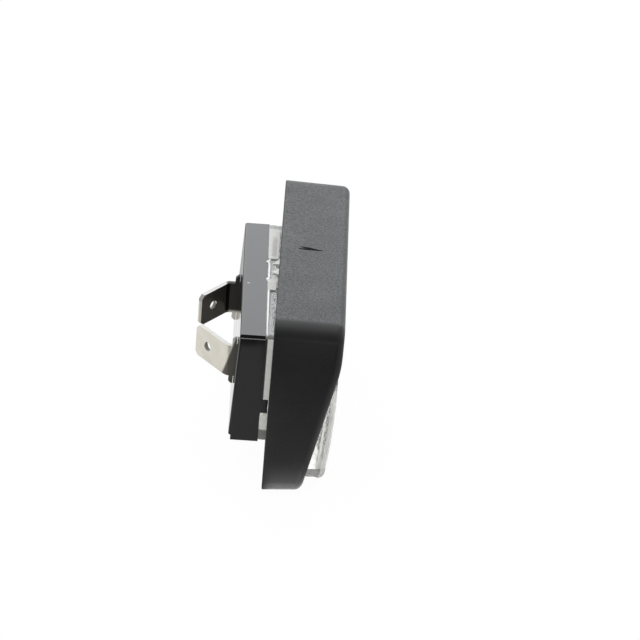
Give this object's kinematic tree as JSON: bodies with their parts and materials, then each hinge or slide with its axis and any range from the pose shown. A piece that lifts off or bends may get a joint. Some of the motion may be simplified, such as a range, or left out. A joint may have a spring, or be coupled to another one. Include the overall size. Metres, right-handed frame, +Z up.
{
  "type": "number plate lamp",
  "caption": "Hooded vehicle number plate lamp: black hood with a sloping front, clear lens below it, festoon bulb in a black base, bent tab terminals behind the panel.",
  "frame": {"origin": "centre of the hood's rim, in the plane that lies on the panel", "axes": "+X out of the panel towards the light side, +Y along the lamp, +Z up, towards the deep side of the hood"},
  "size_m": [0.0265, 0.055, 0.0354],
  "materials": {
    "hood_plastic": "black ABS, fine moulded grain",
    "lens_plastic": "clear polycarbonate, polished",
    "base_plastic": "black polyamide, smooth satin",
    "terminal_metal": "tin-plated brass strip",
    "bulb_glass": "clear glass",
    "cap_metal": "nickel-plated brass",
    "wire_metal": "drawn wire"
  },
  "bodies": {
    "root": {"hood": "hood_plastic", "lens": "lens_plastic", "base": "base_plastic", "terminal_far": "terminal_metal", "terminal_near": "terminal_metal", "bulb_glass": "bulb_glass", "bulb_cap_far": "cap_metal", "bulb_cap_near": "cap_metal", "bulb_lead_far": "wire_metal", "bulb_lead_near": "wire_metal", "bulb_filament": "wire_metal"}
  },
  "joints": []
}
